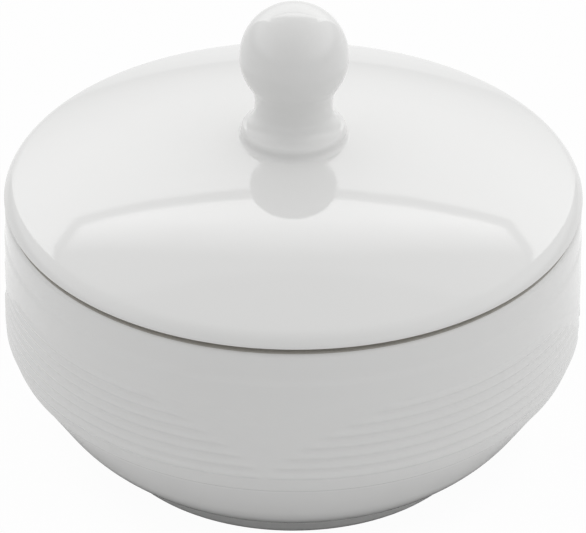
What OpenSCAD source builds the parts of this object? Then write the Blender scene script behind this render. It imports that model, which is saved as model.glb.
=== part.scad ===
// Porcelain sugar bowl with a domed lift-off lid and a ball knob.
// Origin at the centre of the foot plane, +Z up, a plain panel of the relief towards -Y.

/* [Bowl] */
// Diameter over the raised band of the wall
bowl_d = 100; // [94:1:110]
// Height of the rim, where the lid rests
rim_z = 47.6; // [46.5:0.1:55]
// Thickness of the wall
wall_t = 3.8; // [3.2:0.1:5]
// Height where the upright wall starts to turn in
turn_z = 24.8; // [24.2:0.1:25.6]
// Radius of that turn, outside
turn_r = 11.8; // [10.5:0.1:13]
// Slope of the lower wall, in degrees from upright
slope_a = 33.4; // [32:0.2:36]
// Height where the lower wall starts to round under
under_z = 11.1; // [10.4:0.1:11.8]
// Radius of that rounding, outside
under_r = 24.5; // [22.5:0.5:26.5]
// Height of the flat floor inside
floor_z = 7; // [6.5:0.1:8]
// Radius of the curve from the floor up to the wall, inside
floor_r = 14; // [10:0.5:16]
// Rounding of the rim, outside
rim_edge_r = 1.2; // [0.6:0.1:1.6]
// Rounding of the rim, inside
lip_edge_r = 1; // [0.5:0.1:1.2]

/* [Foot ring] */
// Height of the foot ring outside
foot_h = 2.4; // [1.8:0.1:3]
// Width of the foot ring
foot_w = 4; // [3:0.1:5]
// Depth of the hollow inside the foot ring
recess_h = 3; // [2:0.1:3.4]
// Rounding of the foot ring's lower edges
foot_edge_r = 0.8; // [0.3:0.1:1]
// Rounding where the hollow meets the ring
recess_r = 1.4; // [0.5:0.1:1.8]

/* [Relief] */
// How far the band stands proud of the wall
band_h = 0.2; // [0.1:0.05:0.4]
// Height of the band's lower edge
band_low_z = 19.6; // [19.2:0.1:20.6]
// Height of the band's upper edge
band_top_z = 41.8; // [39.8:0.1:42.8]
// Height over which the upper edge fades into the wall
band_fade = 1.6; // [0.4:0.1:2.5]
// Number of ribs, one above another
rib_count = 7; // [1:1:8]
// Height of the lowest rib
rib_low_z = 23.2; // [22.6:0.1:24.1]
// Spacing of the ribs
rib_pitch = 2.05; // [1.6:0.01:2.12]
// Width of a rib
rib_w = 1.6; // [0.8:0.1:1.6]
// How far a rib stands proud of the band
rib_h = 0.25; // [0.1:0.05:0.4]
// Number of plain V panels round the wall
panel_count = 4; // [1:1:5]
// Half the opening of a panel at the lowest rib, in degrees
panel_open_a = 0.95; // [0.5:0.05:2]
// Even growth of that opening from rib to rib, in degrees
panel_grow_a = 1.24; // [0.5:0.02:1.5]
// Flare of that growth, in degrees
panel_flare_a = 0.41; // [0.1:0.01:0.5]

/* [Lid] */
// Height of the dome's crown above the rim
crown_h = 12.8; // [12.2:0.1:13.6]
// Radius of the dome
dome_r = 126; // [120:1:135]
// Thickness of the lid
lid_t = 4; // [3:0.1:4.5]
// How far the lid's edge stands out over the rim
lid_over = 0.1; // [0:0.05:0.3]
// Rounding of the lid's shoulder, where the dome turns down to its edge
lid_edge_r = 4; // [3.4:0.1:5]
// Height of the open joint between the lid's lower edge and the rim
seam_gap = 0.9; // [0.2:0.05:1.1]
// Rounding of the lid's lower edge
lid_seam_r = 0.3; // [0.2:0.1:0.6]
// Gap between the lid's flange and the bowl
flange_gap = 0.7; // [0.4:0.1:1.2]
// Thickness of the flange
flange_t = 4; // [3:0.1:5]
// How far the flange drops below the rim
flange_h = 4.2; // [3:0.1:6]
// Rounding of the flange's lower edges
flange_edge_r = 1; // [0.4:0.1:1.4]

/* [Knob] */
// Diameter of the ball
ball_d = 18.7; // [16.5:0.1:19.2]
// Height of the ball's centre above the knob's seat
ball_h = 15.5; // [15:0.1:17]
// Diameter of the waist
waist_d = 13.4; // [12.7:0.1:13.4]
// Radius of the fillet between waist and ball
waist_fillet_r = 7; // [5:0.5:8]
// Diameter of the neck above its cove
neck_d = 13.4; // [13.4:0.1:14.2]
// Radius of the cove between neck and collar
cove_r = 5; // [4.4:0.1:5.4]
// Diameter over the collar roll
collar_d = 18.1; // [17.4:0.1:18.6]
// Height of the collar roll
collar_h = 2.3; // [2:0.1:2.6]

/* [Hidden] */
$fn = 180;
ARC_ERROR = 0.02;
PORCELAIN = [0.93, 0.93, 0.92];

// Points along an arc, the angles in degrees from +X, close enough for the chords to keep within ARC_ERROR.
// An arc that goes on from the one before leaves its first point out.
function arc_steps(r, sweep) = ceil(abs(sweep) / (2 * acos(1 - ARC_ERROR / r)));
function arc_point(centre, r, a) = centre + r * [cos(a), sin(a)];
function arc(centre, r, from, to, goes_on = false) = let (steps = arc_steps(r, to - from))
    [for (i = [goes_on ? 1 : 0 : steps]) arc_point(centre, r, from + (to - from) * i / steps)];

// Bowl: the turn, the slope and the rounding under follow each other without a kink
band_r = bowl_d / 2;
rim_r = band_r - band_h;
inside_r = band_r - wall_t;
band_turn_r = turn_r + band_h;
turn_centre = [rim_r - turn_r, turn_z];
band_low_a = asin((turn_z - band_low_z) / band_turn_r);
slope_out = [cos(slope_a), -sin(slope_a)];
slope_top = turn_centre + turn_r * slope_out;
slope_end = [slope_top.x - (slope_top.y - under_z) * tan(slope_a), under_z];
under_centre = slope_end - under_r * slope_out;
foot_a = asin((under_centre.y - foot_h) / under_r);
foot_r = under_centre.x + under_r * cos(foot_a);
foot_inside_r = foot_r - foot_w;

// Inside of the bowl: the same turn and slope, one wall thickness in, then a curve to the floor
inside_turn_r = band_turn_r - wall_t;
inside_slope_top = turn_centre + inside_turn_r * slope_out;
floor_turn_z = floor_z + floor_r * (1 - sin(slope_a));
floor_turn = [inside_slope_top.x - (inside_slope_top.y - floor_turn_z) * tan(slope_a), floor_turn_z];
floor_centre = floor_turn - floor_r * slope_out;

// Ribs: part of a circle shows above the band, following the turn on the lowest ones
rib_r = (rib_h * rib_h + rib_w * rib_w / 4) / (2 * rib_h);
rib_sink = rib_r - rib_h;
panel_a = 360 / panel_count;
function rib_z(k) = rib_low_z + k * rib_pitch;
function rib_gap_a(k) = panel_open_a + panel_grow_a * k + panel_flare_a * k * k;
function band_lean_a(z) = z < turn_z ? asin((turn_z - z) / band_turn_r) : 0;
function rib_centre(z) = let (a = band_lean_a(z))
    [turn_centre.x, max(z, turn_z)] + (band_turn_r - rib_sink) * [cos(a), -sin(a)];

// Lid: the dome, its shoulder and its lower edge follow each other without a kink, so the shoulder's centre
// lies dome_r - lid_edge_r from the dome's centre and lid_edge_r - lid_seam_r from that of the lower edge
lid_r = rim_r + lid_over;
dome_centre = [0, rim_z + crown_h - dome_r];
lid_seam_centre = [lid_r - lid_seam_r, rim_z + seam_gap + lid_seam_r];
dome_reach = dome_r - lid_edge_r;
seam_reach = lid_edge_r - lid_seam_r;
seam_way = lid_seam_centre - dome_centre;
seam_from_dome = norm(seam_way);
edge_along = (pow(dome_reach, 2) - pow(seam_reach, 2) + pow(seam_from_dome, 2)) / (2 * seam_from_dome);
edge_aside = sqrt(pow(dome_reach, 2) - pow(edge_along, 2));
seam_aside = [-seam_way.y, seam_way.x];
lid_edge_centre = dome_centre + (edge_along * seam_way + edge_aside * seam_aside) / seam_from_dome;
lid_edge_a = acos(lid_edge_centre.x / dome_reach);
lid_seam_a = acos((lid_seam_centre.x - lid_edge_centre.x) / seam_reach);

// Lid's rest: flat on the rim, it slopes up into the open joint where the rim rounds off
seam_r = rim_r - rim_edge_r;
lid_rest_r = seam_r - seam_gap / 2;
flange_r = inside_r - flange_gap;
flange_inside_r = flange_r - flange_t;
flange_low_z = rim_z - flange_h;
dome_inside_r = dome_r - lid_t;
dome_inside_a = acos(flange_inside_r / dome_inside_r);

// Knob: its seat is a small flat on the crown, as wide as the middle of the collar roll
collar_roll_r = collar_h / 2;
seat_r = collar_d / 2 - collar_roll_r;
seat_a = acos(seat_r / dome_r);
seat_z = dome_centre.y + dome_r * sin(seat_a);
ball_r = ball_d / 2;
ball_centre = [0, seat_z + ball_h];
waist_r = waist_d / 2;
waist_x = waist_r + waist_fillet_r;
waist_z = ball_centre.y - sqrt(pow(ball_r + waist_fillet_r, 2) - waist_x * waist_x);
waist_a = atan2(ball_centre.y - waist_z, waist_x);
cove_x = neck_d / 2 + cove_r;
collar_centre = [seat_r, seat_z + collar_roll_r];
cove_rise = sqrt(pow(cove_r + collar_roll_r, 2) - pow(cove_x - seat_r, 2));
cove_centre = [cove_x, collar_centre.y + cove_rise];
cove_a = atan2(cove_rise, cove_x - seat_r);

// Section of the bowl from the axis under the base, round the rim, to the axis on the floor
module bowl_section() {
    polygon(concat(
        [[0, recess_h]],
        arc([foot_inside_r - recess_r, recess_h - recess_r], recess_r, 90, 0),
        arc([foot_inside_r + foot_edge_r, foot_edge_r], foot_edge_r, 180, 270),
        arc([foot_r - foot_edge_r, foot_edge_r], foot_edge_r, 270, 360),
        arc(under_centre, under_r, -foot_a, -slope_a),
        arc(turn_centre, turn_r, -slope_a, -band_low_a),
        arc(turn_centre, band_turn_r, -band_low_a, 0),
        [[band_r, band_top_z - band_fade / 2], [rim_r, band_top_z + band_fade / 2]],
        arc([rim_r - rim_edge_r, rim_z - rim_edge_r], rim_edge_r, 0, 90),
        arc([inside_r + lip_edge_r, rim_z - lip_edge_r], lip_edge_r, 90, 180),
        arc(turn_centre, inside_turn_r, 0, -slope_a),
        arc(floor_centre, floor_r, -slope_a, -90),
        [[0, floor_z]]
    ));
}

// One rib between two neighbouring panels, its ends following the V
module rib(k) {
    centre = rib_centre(rib_z(k));
    rotate([0, 0, rib_gap_a(k)])
        rotate_extrude(angle = panel_a - 2 * rib_gap_a(k))
            translate(centre)
                circle(r = rib_r);
}

// Section of the lid from the axis under the dome, down the flange, to the axis on the crown
module lid_section() {
    polygon(concat(
        arc(dome_centre, dome_inside_r, 90, dome_inside_a),
        arc([flange_inside_r + flange_edge_r, flange_low_z + flange_edge_r], flange_edge_r, 180, 270),
        arc([flange_r - flange_edge_r, flange_low_z + flange_edge_r], flange_edge_r, 270, 360),
        [[flange_r, rim_z], [lid_rest_r, rim_z], [seam_r, rim_z + seam_gap]],
        arc(lid_seam_centre, lid_seam_r, -90, lid_seam_a),
        arc(lid_edge_centre, lid_edge_r, lid_seam_a, lid_edge_a, goes_on = true),
        arc(dome_centre, dome_r, lid_edge_a, seat_a, goes_on = true),
        [[0, seat_z]]
    ));
}

// Section of the knob from its seat up over the collar, the waist and the ball
module knob_section() {
    polygon(concat(
        [[0, seat_z]],
        arc(collar_centre, collar_roll_r, -90, cove_a),
        arc(cove_centre, cove_r, 180 + cove_a, 180, goes_on = true),
        arc([waist_x, waist_z], waist_fillet_r, 180, 180 - waist_a),
        arc(ball_centre, ball_r, -waist_a, 90, goes_on = true)
    ));
}

module bowl() {
    color(PORCELAIN) {
        rotate_extrude()
            bowl_section();
        for (panel = [0 : panel_count - 1], k = [0 : rib_count - 1])
            rotate([0, 0, -90 + panel * panel_a])
                rib(k);
    }
}

module lid() {
    color(PORCELAIN)
        rotate_extrude()
            lid_section();
}

module lid_knob() {
    color(PORCELAIN)
        rotate_extrude()
            knob_section();
}

bowl();
lid();
lid_knob();
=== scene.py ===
import math

import bpy
from mathutils import Matrix, Vector


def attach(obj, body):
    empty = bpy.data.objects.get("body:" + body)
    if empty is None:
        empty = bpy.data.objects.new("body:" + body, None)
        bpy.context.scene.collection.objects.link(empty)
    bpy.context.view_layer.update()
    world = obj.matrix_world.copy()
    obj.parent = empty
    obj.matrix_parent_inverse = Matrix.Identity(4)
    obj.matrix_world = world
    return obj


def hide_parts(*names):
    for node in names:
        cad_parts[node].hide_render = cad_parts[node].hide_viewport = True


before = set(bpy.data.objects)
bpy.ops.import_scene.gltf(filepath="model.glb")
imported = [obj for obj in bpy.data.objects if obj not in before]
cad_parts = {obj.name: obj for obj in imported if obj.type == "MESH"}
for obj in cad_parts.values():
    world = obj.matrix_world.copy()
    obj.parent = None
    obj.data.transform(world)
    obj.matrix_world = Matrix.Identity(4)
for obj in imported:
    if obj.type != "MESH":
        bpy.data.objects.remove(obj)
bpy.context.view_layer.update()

# A porcelain sugar bowl: a turned bowl with a ribbed band, a domed lid and a ball knob.
# Lengths below are in millimetres and sections are drawn as (radius, height).
MM = 0.001

# Bowl
RIM_Z = 47.6
BAND_R = 50.0
BAND_H = 0.2
WALL_T = 3.8
TURN_Z = 24.8
TURN_R = 11.8
SLOPE_A = 33.4
UNDER_Z = 11.1
UNDER_R = 24.5
FLOOR_Z = 7.0
FLOOR_R = 14.0
RIM_EDGE_R = 1.2
LIP_EDGE_R = 1.0
FOOT_H = 2.4
FOOT_W = 4.0
FOOT_EDGE_R = 0.8
FOOT_FILLET_R = 0.35
RECESS_H = 3.0
RECESS_R = 1.4

# Relief on the wall, with a plain V panel in the middle of each quarter
BAND_LOW_Z = 19.6
BAND_LOW_FADE = 0.4
BAND_TOP_Z = 41.8
BAND_TOP_FADE = 1.6
RIB_COUNT = 7
RIB_LOW_Z = 23.2
RIB_PITCH = 2.05
RIB_H = 0.25
RIB_SHARPNESS = 1.3
GROOVE_H = 0.05
RIB_END_FADE = 1.2
PANEL_COUNT = 4
PANEL_OPEN_A = 0.95
PANEL_GROW_A = 1.24
PANEL_FLARE_A = 0.41
RIBBON_H = 0.08
RIBBON_OUT_A = 5.5
RIBBON_IN_A = 17.0
RIBBON_FADE = 1.4
RIBBON_TOP_Z = 38.7

# Lid
CROWN_H = 12.8
DOME_R = 126.0
LID_T = 4.0
LID_OVER = 0.1
SEAM_GAP = 0.9
LID_EDGE_R = 4.0
LID_SEAM_R = 0.3
FLANGE_GAP = 0.7
FLANGE_T = 4.0
FLANGE_H = 4.2
FLANGE_EDGE_R = 1.0
FLANGE_FILLET_R = 2.0

# Knob
BALL_R = 9.35
BALL_H = 15.5
WAIST_R = 6.7
WAIST_FILLET_R = 7.0
NECK_R = 6.7
COVE_R = 5.0
COLLAR_R = 9.05
COLLAR_H = 2.3
COLLAR_FILLET_R = 1.0
CREASE_A = 75.0

# The camera stands this many degrees round from the front panel, and the lights face it
VIEW_A = 5.4

# Light of the surround: at the horizon, overhead, and added towards the back and both sides
LOW_LIGHT = 0.11
HIGH_LIGHT = 0.95
BACK_LIGHT = 1.05
SIDE_LIGHT = 0.88
SIDE_SHIFT = 0.04

# What the glaze mirrors at the sides above plain white, and between which heights it sets in
SIDE_GLOSS = 1.4
SIDE_FROM = (0.12, 0.4)

# Table: its share of plain white, the ring of painted shade in its colour at the foot (dark grey close in,
# white further out), which dims the light it throws onto the foot ring, and where its mirror image turns
# white
FLOOR_W = 8000.0
WHITE_SHARE = 0.97
PAINTED_SHADE_IN_R = 33.5
PAINTED_SHADE_OUT_R = 43.5
SHADE_IN_R = 33.5
SHADE_OUT_R = 88.0

# Fineness of the meshes
TURN_STEPS = 360
ARC_STEP = 0.45
ARC_LEAST_STEPS = 5
RELIEF_STEP = 0.2
PLAIN_STEP = 3.0
WELD = 0.001
JOIN_DEPTH = 0.03
SHARP_A = 40.0

RIM_R = BAND_R - BAND_H
INSIDE_R = BAND_R - WALL_T
LID_R = RIM_R + LID_OVER
DOME_Z = RIM_Z + CROWN_H - DOME_R
COLLAR_ROLL_R = COLLAR_H / 2
SEAT_R = COLLAR_R - COLLAR_ROLL_R
SEAT_Z = DOME_Z + math.sqrt(DOME_R**2 - SEAT_R**2)


def arc(centre, radius, start, end, step=ARC_STEP):
    """Points along an arc of a section, its angles in degrees from straight outwards."""
    sweep = math.radians(end - start)
    count = max(ARC_LEAST_STEPS, math.ceil(abs(sweep) * radius / step))
    angles = [math.radians(start) + sweep * i / count for i in range(count + 1)]
    return [(centre[0] + radius * math.cos(a), centre[1] + radius * math.sin(a)) for a in angles]


def line(start, end, step=PLAIN_STEP):
    """Points along a straight stretch of a section."""
    count = max(1, math.ceil(math.dist(start, end) / step))
    return [tuple(a + (b - a) * i / count for a, b in zip(start, end)) for i in range(count + 1)]


def along(start, distance, angle):
    """The point at that distance from start, the angle in degrees from straight outwards."""
    a = math.radians(angle)
    return start[0] + distance * math.cos(a), start[1] + distance * math.sin(a)


def smooth(low, high, value):
    """0 below low, 1 above high, with a soft rise between."""
    t = min(max((value - low) / (high - low), 0.0), 1.0)
    return t * t * (3 - 2 * t)


def turned(name, section):
    """A solid of revolution: the section is drawn point by point and spun round the axis."""
    bpy.ops.object.select_all(action="DESELECT")
    bpy.ops.mesh.primitive_plane_add(size=MM)
    piece = bpy.context.object
    piece.name = name
    bpy.ops.object.mode_set(mode="EDIT")
    bpy.ops.mesh.select_all(action="SELECT")
    bpy.ops.mesh.merge(type="CENTER")
    here = (0.0, 0.0)
    for count, point in enumerate(section):
        move = ((point[0] - here[0]) * MM, 0, (point[1] - here[1]) * MM)
        if count == 0:
            bpy.ops.transform.translate(value=move)
        elif math.dist(point, here) > WELD:
            bpy.ops.mesh.extrude_vertices_move(TRANSFORM_OT_translate={"value": move})
        else:
            continue
        here = point
    bpy.ops.mesh.select_all(action="SELECT")
    bpy.ops.mesh.spin(steps=TURN_STEPS, angle=2 * math.pi, center=(0, 0, 0), axis=(0, 0, 1))
    bpy.ops.mesh.select_all(action="SELECT")
    bpy.ops.mesh.remove_doubles(threshold=WELD * MM)
    bpy.ops.mesh.normals_make_consistent(inside=False)
    bpy.ops.object.mode_set(mode="OBJECT")
    bpy.ops.object.shade_smooth_by_angle(angle=math.radians(SHARP_A))
    return piece


def bowl_section():
    """From the axis under the base, round the foot and the rim, to the axis on the floor."""
    turn = (RIM_R - TURN_R, TURN_Z)
    slope_top = along(turn, TURN_R, -SLOPE_A)
    slope_end = (slope_top[0] - (slope_top[1] - UNDER_Z) * math.tan(math.radians(SLOPE_A)), UNDER_Z)
    under = along(slope_end, -UNDER_R, -SLOPE_A)
    foot_r = under[0] + math.sqrt(UNDER_R**2 - (under[1] - FOOT_H) ** 2)
    fillet_r = foot_r + FOOT_FILLET_R
    fillet_drop = math.sqrt((UNDER_R + FOOT_FILLET_R) ** 2 - (fillet_r - under[0]) ** 2)
    fillet = (fillet_r, under[1] - fillet_drop)
    fillet_a = math.degrees(math.atan2(fillet_drop, fillet_r - under[0]))
    foot_inside_r = foot_r - FOOT_W
    inside_turn_r = TURN_R + BAND_H - WALL_T
    inside_slope_top = along(turn, inside_turn_r, -SLOPE_A)
    floor_turn_z = FLOOR_Z + FLOOR_R * (1 - math.sin(math.radians(SLOPE_A)))
    floor_run = (inside_slope_top[1] - floor_turn_z) * math.tan(math.radians(SLOPE_A))
    floor_turn = along((inside_slope_top[0] - floor_run, floor_turn_z), -FLOOR_R, -SLOPE_A)
    return [
        *line((0, RECESS_H), (foot_inside_r - RECESS_R, RECESS_H)),
        *arc((foot_inside_r - RECESS_R, RECESS_H - RECESS_R), RECESS_R, 90, 0),
        *arc((foot_inside_r + FOOT_EDGE_R, FOOT_EDGE_R), FOOT_EDGE_R, 180, 270),
        *arc((foot_r - FOOT_EDGE_R, FOOT_EDGE_R), FOOT_EDGE_R, 270, 360),
        *arc(fillet, FOOT_FILLET_R, 180, 180 - fillet_a),
        *arc(under, UNDER_R, -fillet_a, -SLOPE_A),
        *line(slope_end, slope_top),
        *arc(turn, TURN_R, -SLOPE_A, 0, RELIEF_STEP),
        *line((RIM_R, TURN_Z), (RIM_R, BAND_TOP_Z + BAND_TOP_FADE), RELIEF_STEP),
        *arc((RIM_R - RIM_EDGE_R, RIM_Z - RIM_EDGE_R), RIM_EDGE_R, 0, 90),
        *arc((INSIDE_R + LIP_EDGE_R, RIM_Z - LIP_EDGE_R), LIP_EDGE_R, 90, 180),
        *line((INSIDE_R, RIM_Z - LIP_EDGE_R), (INSIDE_R, TURN_Z)),
        *arc(turn, inside_turn_r, 0, -SLOPE_A),
        *arc(floor_turn, FLOOR_R, -SLOPE_A, -90),
        *line((floor_turn[0], FLOOR_Z), (0, FLOOR_Z)),
    ]


def relief_height(z, off_panel_a):
    """How far the wall stands proud at a height, so many degrees from the middle of the nearest panel."""
    band = smooth(BAND_LOW_Z - BAND_LOW_FADE, BAND_LOW_Z, z)
    band *= 1 - smooth(BAND_TOP_Z - BAND_TOP_FADE / 2, BAND_TOP_Z + BAND_TOP_FADE / 2, z)
    mm_per_degree = math.radians(BAND_R)
    rib = (z - RIB_LOW_Z) / RIB_PITCH
    rib_end_a = PANEL_OPEN_A + PANEL_GROW_A * rib + PANEL_FLARE_A * rib * rib
    in_ribs = -0.5 < rib < RIB_COUNT - 0.5
    crest = ((1 + math.cos(2 * math.pi * rib)) / 2) ** RIB_SHARPNESS
    ridge = (RIB_H + GROOVE_H) * crest - GROOVE_H if in_ribs else 0
    ridge *= smooth(0, RIB_END_FADE, (off_panel_a - max(rib_end_a, 0)) * mm_per_degree + RIB_END_FADE / 2)
    ribbon_out = smooth(0, RIBBON_FADE, (rib_end_a - RIBBON_OUT_A - off_panel_a) * mm_per_degree)
    ribbon_in = smooth(0, RIBBON_FADE, (off_panel_a - rib_end_a + RIBBON_IN_A) * mm_per_degree)
    ribbon_top = 1 - smooth(RIBBON_TOP_Z - 2 * RIBBON_FADE, RIBBON_TOP_Z, z)
    ribbon = ribbon_out * ribbon_in * (rib > 0) * ribbon_top
    return BAND_H * band + ridge + RIBBON_H * ribbon


def raise_relief(piece):
    """Pushes the band, the ribs and the panels' ribbons out of the turned wall."""
    highest = BAND_H + RIB_H
    panel_a = 360 / PANEL_COUNT
    group = piece.vertex_groups.new(name="relief")
    for vertex in piece.data.vertices:
        x, y, z = vertex.co / MM
        if math.hypot(x, y) < INSIDE_R + LIP_EDGE_R or z > RIM_Z - RIM_EDGE_R:
            continue
        from_front_a = math.degrees(math.atan2(y, x)) + 90
        off_panel_a = abs((from_front_a + panel_a / 2) % panel_a - panel_a / 2)
        group.add([vertex.index], relief_height(z, off_panel_a) / highest, "REPLACE")
    displace = piece.modifiers.new("relief", "DISPLACE")
    displace.vertex_group = group.name
    displace.strength = highest * MM
    displace.mid_level = 0
    bpy.ops.object.modifier_apply(modifier=displace.name)


def lid_section():
    """From the axis under the dome, down the flange and out to the edge, to the axis on the crown."""
    dome = (0, DOME_Z)
    inside = DOME_R - LID_T
    flange_r = INSIDE_R - FLANGE_GAP
    flange_inside_r = flange_r - FLANGE_T
    flange_low_z = RIM_Z - FLANGE_H
    fillet_a = math.degrees(math.acos((flange_inside_r - FLANGE_FILLET_R) / (inside - FLANGE_FILLET_R)))
    fillet = along(dome, inside - FLANGE_FILLET_R, fillet_a)
    seam_r = RIM_R - RIM_EDGE_R
    seam = (LID_R - LID_SEAM_R, RIM_Z + SEAM_GAP + LID_SEAM_R)
    dome_reach = DOME_R - LID_EDGE_R
    seam_reach = LID_EDGE_R - LID_SEAM_R
    seam_from_dome = math.dist(seam, dome)
    seam_a = math.degrees(math.atan2(seam[1] - dome[1], seam[0]))
    turn = (dome_reach**2 + seam_from_dome**2 - seam_reach**2) / (2 * dome_reach * seam_from_dome)
    edge_a = seam_a + math.degrees(math.acos(turn))
    edge = along(dome, dome_reach, edge_a)
    low_a = math.degrees(math.atan2(seam[1] - edge[1], seam[0] - edge[0]))
    seat_a = math.degrees(math.acos(SEAT_R / DOME_R))
    return [
        *arc(dome, inside, 90, fillet_a, PLAIN_STEP / 2),
        *arc(fillet, FLANGE_FILLET_R, fillet_a, 0),
        *arc((flange_inside_r + FLANGE_EDGE_R, flange_low_z + FLANGE_EDGE_R), FLANGE_EDGE_R, 180, 270),
        *arc((flange_r - FLANGE_EDGE_R, flange_low_z + FLANGE_EDGE_R), FLANGE_EDGE_R, 270, 360),
        *line((flange_r, RIM_Z), (seam_r - SEAM_GAP / 2, RIM_Z)),
        (seam_r, RIM_Z + SEAM_GAP),
        *arc(seam, LID_SEAM_R, -90, low_a),
        *arc(edge, LID_EDGE_R, low_a, edge_a),
        *arc(dome, DOME_R, edge_a, seat_a, PLAIN_STEP / 2),
        *line((SEAT_R, SEAT_Z), (0, SEAT_Z)),
    ]


def knob_section():
    """From the axis on the knob's seat, over the collar, the waist and the ball, to the top."""
    ball = (0, SEAT_Z + BALL_H)
    waist_r = WAIST_R + WAIST_FILLET_R
    waist_drop = math.sqrt((BALL_R + WAIST_FILLET_R) ** 2 - waist_r**2)
    waist_a = math.degrees(math.atan2(waist_drop, waist_r))
    roll = (SEAT_R, SEAT_Z + COLLAR_ROLL_R)
    cove_r = NECK_R + COVE_R
    crease = along(roll, COLLAR_ROLL_R, CREASE_A)
    cove_rise = math.sqrt(COVE_R**2 - (cove_r - crease[0]) ** 2)
    cove_a = math.degrees(math.atan2(cove_rise, cove_r - crease[0]))
    fillet_reach = COLLAR_ROLL_R + COLLAR_FILLET_R
    fillet_z = DOME_Z + math.sqrt(DOME_R**2 - (SEAT_R + fillet_reach) ** 2) + COLLAR_FILLET_R - JOIN_DEPTH
    fillet_a = math.degrees(math.asin((roll[1] - fillet_z) / fillet_reach))
    fillet = along(roll, fillet_reach, -fillet_a)
    return [
        *line((0, SEAT_Z), (SEAT_R, SEAT_Z)),
        *arc(fillet, COLLAR_FILLET_R, 270, 180 - fillet_a),
        *arc(roll, COLLAR_ROLL_R, -fillet_a, CREASE_A),
        *arc((cove_r, crease[1] + cove_rise), COVE_R, 180 + cove_a, 180),
        *arc((waist_r, ball[1] - waist_drop), WAIST_FILLET_R, 180, 180 - waist_a),
        *arc(ball, BALL_R, -waist_a, 90),
    ]


def linear(hex_colour):
    """An sRGB hex colour as linear red, green, blue and alpha."""
    parts = [int(hex_colour[i : i + 2], 16) / 255 for i in (1, 3, 5)]
    return *[c / 12.92 if c <= 0.04045 else ((c + 0.055) / 1.055) ** 2.4 for c in parts], 1.0


def add_node(tree, kind, inputs=(), **settings):
    """Adds a node with its settings; an input is a value or the socket that feeds it."""
    node = tree.nodes.new(kind)
    for key, value in settings.items():
        setattr(node, key, value)
    for key, value in dict(inputs).items():
        if isinstance(value, bpy.types.NodeSocket):
            tree.links.new(value, node.inputs[key])
        else:
            node.inputs[key].default_value = value
    return node


def new_material(name):
    """An empty material and its node tree."""
    material = bpy.data.materials.new(name)
    material.use_nodes = True
    material.node_tree.nodes.clear()
    return material, material.node_tree


def glazed_porcelain():
    """White hard porcelain under a clear, fired glaze: near-neutral white with a mirror-like skin.

    The glaze flowed while it melted, so its reflections waver a little, and its gloss is not quite even.
    """
    wave_mm = 11.0
    cloud_mm = 38.0
    ripple_mm = 0.2
    material, tree = new_material("glazed_porcelain")
    place = add_node(tree, "ShaderNodeTexCoord").outputs["Object"]
    cloud = add_node(
        tree, "ShaderNodeTexNoise", {"Vector": place, "Scale": 1 / (cloud_mm * MM), "Detail": 2.0}
    )
    wave = add_node(
        tree, "ShaderNodeTexNoise", {"Vector": place, "Scale": 1 / (wave_mm * MM), "Detail": 1.0}
    )
    body = add_node(
        tree,
        "ShaderNodeMix",
        {"Factor": cloud.outputs["Fac"], "A": linear("#EDEDEC"), "B": linear("#F1F1F0")},
        data_type="RGBA",
    )
    gloss = add_node(
        tree,
        "ShaderNodeMapRange",
        {"Value": cloud.outputs["Fac"], "From Min": 0.3, "From Max": 0.7, "To Min": 0.05, "To Max": 0.09},
    )
    ripple = add_node(
        tree,
        "ShaderNodeBump",
        {"Height": wave.outputs["Fac"], "Strength": 0.12, "Distance": ripple_mm * MM},
    )
    skin = add_node(
        tree,
        "ShaderNodeBsdfPrincipled",
        {
            "Base Color": body.outputs["Result"],
            "Roughness": gloss.outputs["Result"],
            "IOR": 1.52,
            "Normal": ripple.outputs["Normal"],
        },
    )
    add_node(tree, "ShaderNodeOutputMaterial", {"Surface": skin.outputs["BSDF"]})
    return material


def bare_porcelain():
    """Porcelain wiped clean of glaze for the kiln: matt, a little warmer and finely gritty."""
    grit_mm = 0.35
    tooth_mm = 0.03
    material, tree = new_material("bare_porcelain")
    place = add_node(tree, "ShaderNodeTexCoord").outputs["Object"]
    grit = add_node(
        tree, "ShaderNodeTexNoise", {"Vector": place, "Scale": 1 / (grit_mm * MM), "Detail": 3.0}
    )
    body = add_node(
        tree,
        "ShaderNodeMix",
        {"Factor": grit.outputs["Fac"], "A": linear("#B4B1AB"), "B": linear("#C6C3BD")},
        data_type="RGBA",
    )
    tooth = add_node(
        tree,
        "ShaderNodeBump",
        {"Height": grit.outputs["Fac"], "Strength": 0.3, "Distance": tooth_mm * MM},
    )
    skin = add_node(
        tree,
        "ShaderNodeBsdfPrincipled",
        {
            "Base Color": body.outputs["Result"],
            "Roughness": 0.7,
            "IOR": 1.5,
            "Normal": tooth.outputs["Normal"],
        },
    )
    add_node(tree, "ShaderNodeOutputMaterial", {"Surface": skin.outputs["BSDF"]})
    return material


def wipe_bare(piece, bare, radii, heights):
    """Gives the faces within a ring, which touched the kiln shelf or the other piece, the bare material."""
    if bare.name not in piece.data.materials:
        piece.data.materials.append(bare)
    slot = piece.data.materials.find(bare.name)
    for face in piece.data.polygons:
        x, y, z = face.center / MM
        if radii[0] < math.hypot(x, y) < radii[1] and heights[0] < z < heights[1]:
            face.material_index = slot


def make_bowl(glaze, bare):
    wiped = 0.3
    piece = turned("bowl_porcelain", bowl_section())
    raise_relief(piece)
    piece.data.materials.append(glaze)
    wipe_bare(piece, bare, (0, BAND_R), (-wiped, wiped))
    wipe_bare(piece, bare, (INSIDE_R + wiped, RIM_R), (RIM_Z - wiped, RIM_Z + wiped))
    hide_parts("bowl")
    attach(piece, "bowl")


def make_lid(glaze, bare):
    wiped = 0.02
    piece = turned("lid_porcelain", lid_section())
    piece.data.materials.append(glaze)
    wipe_bare(piece, bare, (INSIDE_R - FLANGE_GAP, LID_R), (RIM_Z - wiped, RIM_Z + SEAM_GAP + wiped))
    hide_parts("lid")
    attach(piece, "lid")


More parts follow.
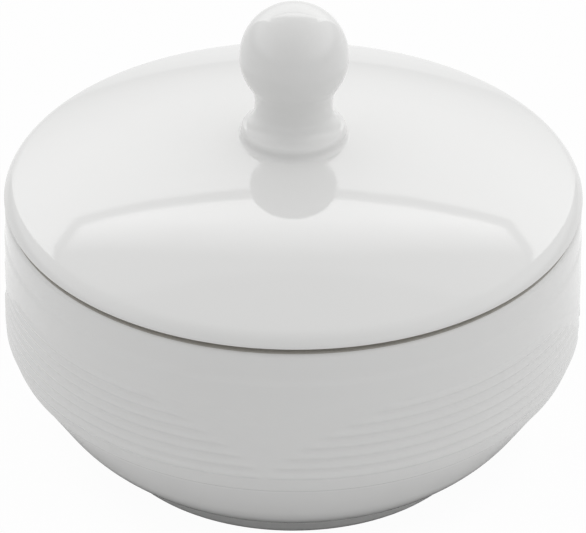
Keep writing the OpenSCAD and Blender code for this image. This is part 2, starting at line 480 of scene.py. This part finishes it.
def make_knob(glaze):
    piece = turned("knob_porcelain", knob_section())
    piece.data.materials.append(glaze)
    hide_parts("lid_knob")
    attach(piece, "lid")


def make_camera():
    """The photograph's view: a long lens, looking down from a little to the right of the front panel."""
    distance = 900.0
    elevation = 32.29
    roll = 0.3
    aim = (0.0, 0.0, 33.31)
    pixels_per_mm = 5.741
    image_w = 586
    sensor_w = 36.0
    turn = Matrix.Rotation(math.radians(VIEW_A), 3, "Z")
    tilt = Matrix.Rotation(math.radians(90 - elevation), 3, "X")
    spin = Matrix.Rotation(math.radians(roll), 3, "Z")
    facing = turn @ tilt @ spin
    place = Vector(aim) + facing @ Vector((0, 0, distance))
    bpy.ops.object.camera_add(location=place * MM, rotation=facing.to_euler())
    camera = bpy.context.object
    camera.data.sensor_width = sensor_w
    camera.data.lens = pixels_per_mm * distance * sensor_w / image_w
    bpy.context.scene.camera = camera


def make_back_light():
    """A bright wall at the back and a framed soft light above it, as the lid mirrors them.

    Both are on one lamp, which shows in the glaze only, so that the knob throws no hard shadow from it. Its
    angles are above the horizon. Places on it are tangents from its middle.
    """
    low_a = -4.0
    high_a = 68.0
    width = 0.9
    distance = 0.6
    wall_a = (0.0, 49.0)
    wall_level = 1.95
    box_a = (55.5, 65.0)
    box_levels = (2.8, 0.3)
    box_round = 0.5
    frame_a = 48.8
    frame_w = 0.026
    frame_shade = 0.75
    arch = 0.36
    corner = 0.51
    slant = 1.3
    middle_a = (low_a + high_a) / 2
    reach = math.tan(math.radians(high_a - middle_a))
    aim = Vector((0, 0, SEAT_Z)) * MM
    turn = Matrix.Rotation(math.radians(VIEW_A + 180), 3, "Z")
    facing = turn @ Matrix.Rotation(math.radians(90 - middle_a), 3, "X")
    place = aim + facing @ Vector((0, 0, distance))
    bpy.ops.object.light_add(type="AREA", location=place, rotation=facing.to_euler())
    lamp = bpy.context.object
    lamp.name = "back_light"
    lamp.visible_camera = False
    lamp.visible_diffuse = False
    lamp.data.shape = "RECTANGLE"
    lamp.data.size = width
    lamp.data.size_y = 2 * distance * reach
    lamp.data.energy = math.pi * lamp.data.size * lamp.data.size_y
    lamp.data.use_nodes = True
    tree = lamp.data.node_tree
    tree.nodes.clear()

    def on_lamp(angle):
        return math.tan(math.radians(angle - middle_a))

    math_node = "ShaderNodeMath"
    middle = (0.5, 0.5, 0.0)
    place = add_node(tree, "ShaderNodeNewGeometry").outputs["Parametric"]
    place = add_node(tree, "ShaderNodeVectorMath", {0: place, 1: middle}, operation="SUBTRACT").outputs[0]
    place = add_node(tree, "ShaderNodeSeparateXYZ", {"Vector": place}).outputs
    aside = add_node(tree, math_node, {0: place["X"], 1: width / distance}, operation="MULTIPLY").outputs[0]
    aside = add_node(tree, math_node, {0: aside}, operation="ABSOLUTE").outputs[0]
    bow = add_node(tree, math_node, {0: aside, 1: aside}, operation="MULTIPLY").outputs[0]
    height = add_node(tree, math_node, {0: place["Y"], 1: 2 * reach}, operation="MULTIPLY").outputs[0]
    arched = add_node(tree, math_node, {0: bow, 1: arch, 2: height}, operation="MULTIPLY_ADD").outputs[0]
    past = add_node(tree, math_node, {0: aside, 1: corner}, operation="SUBTRACT").outputs[0]
    past = add_node(tree, math_node, {0: past, 1: 0.0}, operation="MAXIMUM").outputs[0]
    slanted = add_node(tree, math_node, {0: past, 1: -slant, 2: arched}, operation="MULTIPLY_ADD").outputs[0]
    rounded = add_node(
        tree, math_node, {0: bow, 1: box_round, 2: arched}, operation="MULTIPLY_ADD"
    ).outputs[0]
    wall = add_node(
        tree,
        "ShaderNodeMapRange",
        {
            "Value": arched,
            "From Min": on_lamp(wall_a[0]),
            "From Max": on_lamp(wall_a[1]),
            "To Max": wall_level,
        },
    ).outputs["Result"]
    box = add_node(
        tree,
        "ShaderNodeMapRange",
        {
            "Value": rounded,
            "From Min": on_lamp(box_a[0]),
            "From Max": on_lamp(box_a[1]),
            "To Min": box_levels[0],
            "To Max": box_levels[1],
        },
    ).outputs["Result"]
    edge = on_lamp(frame_a)
    in_box = add_node(tree, math_node, {0: slanted, 1: edge}, operation="GREATER_THAN").outputs[0]
    level = add_node(tree, "ShaderNodeMix", {"Factor": in_box, "A": wall, "B": box}).outputs["Result"]
    in_frame = add_node(tree, math_node, {0: slanted, 1: edge, 2: frame_w}, operation="COMPARE").outputs[0]
    shade = add_node(
        tree, math_node, {0: in_frame, 1: -frame_shade, 2: 1.0}, operation="MULTIPLY_ADD"
    ).outputs[0]
    level = add_node(tree, math_node, {0: level, 1: shade}, operation="MULTIPLY").outputs[0]
    glow = add_node(tree, "ShaderNodeEmission", {"Strength": level})
    add_node(tree, "ShaderNodeOutputLight", {"Surface": glow.outputs["Emission"]})


def seen_directly(tree, mirrored=1.0):
    """1 for a camera ray, so much for one in a reflection or a clear body, 0 for one that carries light."""
    ray = add_node(tree, "ShaderNodeLightPath").outputs
    kinds = {0: ray["Is Glossy Ray"], 1: ray["Is Transmission Ray"]}
    mirror = add_node(tree, "ShaderNodeMath", kinds, operation="MAXIMUM").outputs[0]
    mirror = add_node(tree, "ShaderNodeMath", {0: mirror, 1: mirrored}, operation="MULTIPLY").outputs[0]
    kinds = {0: mirror, 1: ray["Is Camera Ray"]}
    return add_node(tree, "ShaderNodeMath", kinds, operation="MAXIMUM").outputs[0]


def make_studio():
    """A white table under an even white surround, with a bright wall and a soft light behind the bowl."""
    scene = bpy.context.scene
    scene.view_settings.view_transform = "Standard"
    world = bpy.data.worlds.new("studio")
    scene.world = world
    world.use_nodes = True
    tree = world.node_tree
    tree.nodes.clear()
    way = add_node(tree, "ShaderNodeTexCoord").outputs["Generated"]
    way = add_node(tree, "ShaderNodeSeparateXYZ", {"Vector": way}).outputs
    light = add_node(
        tree,
        "ShaderNodeMapRange",
        {"Value": way["Z"], "To Min": LOW_LIGHT, "To Max": HIGH_LIGHT},
        interpolation_type="SMOOTHSTEP",
    ).outputs["Result"]
    side = add_node(tree, "ShaderNodeMath", {0: way["X"], 1: SIDE_SHIFT}, operation="ADD").outputs[0]
    side = add_node(tree, "ShaderNodeMath", {0: side, 1: side}, operation="MULTIPLY").outputs[0]
    gloss = add_node(
        tree,
        "ShaderNodeMapRange",
        {"Value": way["Z"], "From Min": SIDE_FROM[0], "From Max": SIDE_FROM[1], "To Max": SIDE_GLOSS},
        interpolation_type="SMOOTHSTEP",
    ).outputs["Result"]
    light = add_node(
        tree, "ShaderNodeMath", {0: side, 1: SIDE_LIGHT, 2: light}, operation="MULTIPLY_ADD"
    ).outputs[0]
    back = add_node(tree, "ShaderNodeMath", {0: way["Y"], 1: 0.0}, operation="MAXIMUM").outputs[0]
    back = add_node(tree, "ShaderNodeMath", {0: back, 1: back}, operation="MULTIPLY").outputs[0]
    light = add_node(
        tree, "ShaderNodeMath", {0: back, 1: BACK_LIGHT, 2: light}, operation="MULTIPLY_ADD"
    ).outputs[0]
    white = add_node(
        tree, "ShaderNodeMath", {0: side, 1: gloss, 2: 1.0}, operation="MULTIPLY_ADD"
    ).outputs[0]
    level = add_node(tree, "ShaderNodeMix", {"Factor": seen_directly(tree), "A": light, "B": white})
    sky = add_node(tree, "ShaderNodeBackground", {"Strength": level.outputs["Result"]})
    add_node(tree, "ShaderNodeOutputWorld", {"Surface": sky.outputs["Background"]})

    bpy.ops.object.select_all(action="DESELECT")
    bpy.ops.mesh.primitive_plane_add(size=FLOOR_W * MM)
    floor = bpy.context.object
    floor.name = "floor"
    material, tree = new_material("white_table")
    place = add_node(tree, "ShaderNodeTexCoord").outputs["Object"]
    away = add_node(tree, "ShaderNodeVectorMath", {0: place}, operation="LENGTH").outputs["Value"]
    lit = add_node(
        tree,
        "ShaderNodeMapRange",
        {"Value": away, "From Min": SHADE_IN_R * MM, "From Max": SHADE_OUT_R * MM},
    )
    seen = seen_directly(tree, lit.outputs["Result"])
    share = add_node(tree, "ShaderNodeMath", {0: seen, 1: WHITE_SHARE}, operation="MULTIPLY")
    # Painted shade: the table's colour runs from dark grey at the foot to white further out, standing in for
    # the deep shade around the foot ring
    painted_shade_tone = add_node(
        tree,
        "ShaderNodeMapRange",
        {
            "Value": away,
            "From Min": PAINTED_SHADE_IN_R * MM,
            "From Max": PAINTED_SHADE_OUT_R * MM,
            "To Min": linear("#585858")[0],
            "To Max": linear("#E6E6E6")[0],
        },
    )
    paper = add_node(tree, "ShaderNodeBsdfDiffuse", {"Color": painted_shade_tone.outputs["Result"]})
    white = add_node(tree, "ShaderNodeEmission")
    mixed = add_node(
        tree,
        "ShaderNodeMixShader",
        {0: share.outputs[0], 1: paper.outputs["BSDF"], 2: white.outputs["Emission"]},
    )
    add_node(tree, "ShaderNodeOutputMaterial", {"Surface": mixed.outputs["Shader"]})
    floor.data.materials.append(material)

    make_back_light()


make_camera()
make_studio()
glaze = glazed_porcelain()
bare = bare_porcelain()
make_bowl(glaze, bare)
make_lid(glaze, bare)
make_knob(glaze)
